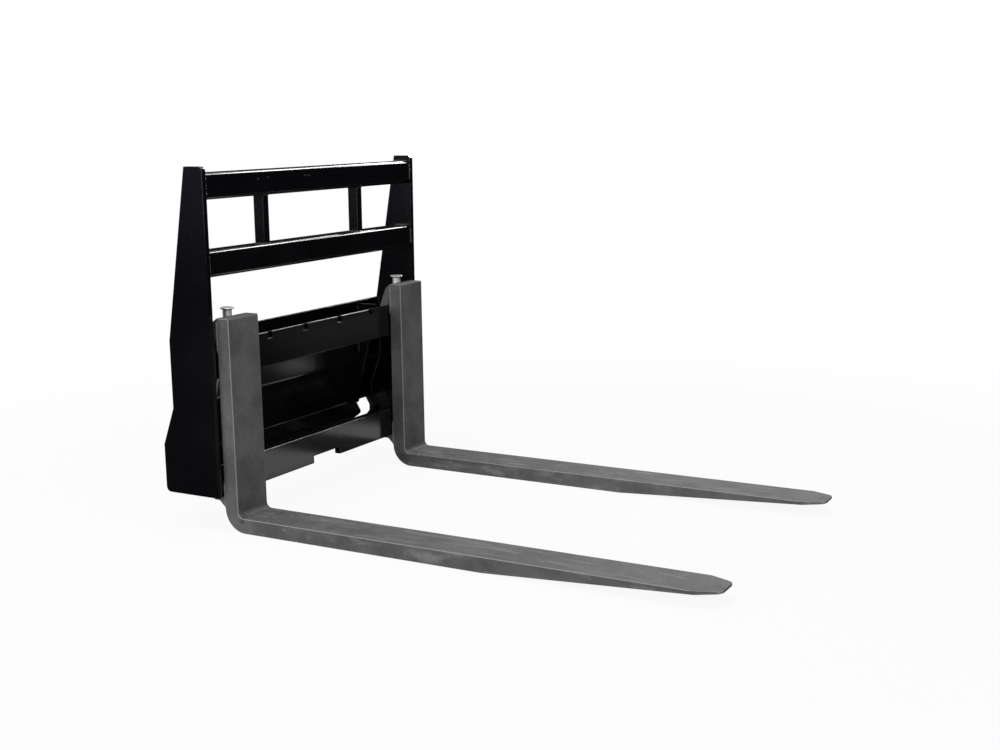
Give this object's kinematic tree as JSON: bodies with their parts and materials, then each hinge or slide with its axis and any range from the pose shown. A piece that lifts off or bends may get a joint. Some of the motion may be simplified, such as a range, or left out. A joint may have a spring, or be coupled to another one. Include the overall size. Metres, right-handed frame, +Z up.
{
  "type": "pallet fork attachment",
  "caption": "Pallet fork attachment for a compact loader: welded carriage with backrest, forged L-shaped forks with lift-up lock pins, and a quick-attach plate behind.",
  "frame": {"origin": "on the floor that the forks lie on, under the middle of the object's bounding box", "axes": "+Z up, forks point along -Y, +X to the right seen from the fork tips' side looking at the backrest"},
  "size_m": [0.812, 1.2434, 0.769],
  "materials": {
    "frame_black": "gloss",
    "fork_grey": "satin",
    "zinc_plate": "bright",
    "bare_steel": "satin"
  },
  "bodies": {
    "carriage": {"side_plate_left": "frame_black", "side_plate_right": "frame_black", "top_tube": "frame_black", "middle_tube": "frame_black", "backrest_bar_left": "frame_black", "backrest_bar_right": "frame_black", "upper_fork_rail": "frame_black", "lower_fork_rail": "frame_black", "coupler_plate": "frame_black", "coupler_hook": "frame_black", "coupler_lower_lip": "frame_black", "coupler_rib_left": "frame_black", "coupler_rib_right": "frame_black", "fork_left": "fork_grey", "fork_right": "fork_grey", "upper_hook_left": "fork_grey", "upper_hook_right": "fork_grey", "lower_hook_left": "fork_grey", "lower_hook_right": "fork_grey", "lock_bushing_left": "zinc_plate", "lock_bushing_right": "zinc_plate", "lock_spring_left": "bare_steel", "lock_spring_right": "bare_steel"},
    "left_lock": {"lock_pin_left": "bare_steel", "lock_knob_left": "zinc_plate"},
    "right_lock": {"lock_pin_right": "bare_steel", "lock_knob_right": "zinc_plate"}
  },
  "joints": [
    {"name": "left_lock_lift", "type": "slide", "parent": "carriage", "child": "left_lock", "axis": [0, 0, 1], "range_m": [0, 0.018], "stiffness_N_per_m": 600, "springref_m": -0.02, "deforming": ["lock_spring_left"]},
    {"name": "right_lock_lift", "type": "slide", "parent": "carriage", "child": "right_lock", "axis": [0, 0, 1], "range_m": [0, 0.018], "stiffness_N_per_m": 600, "springref_m": -0.02, "deforming": ["lock_spring_right"]}
  ]
}
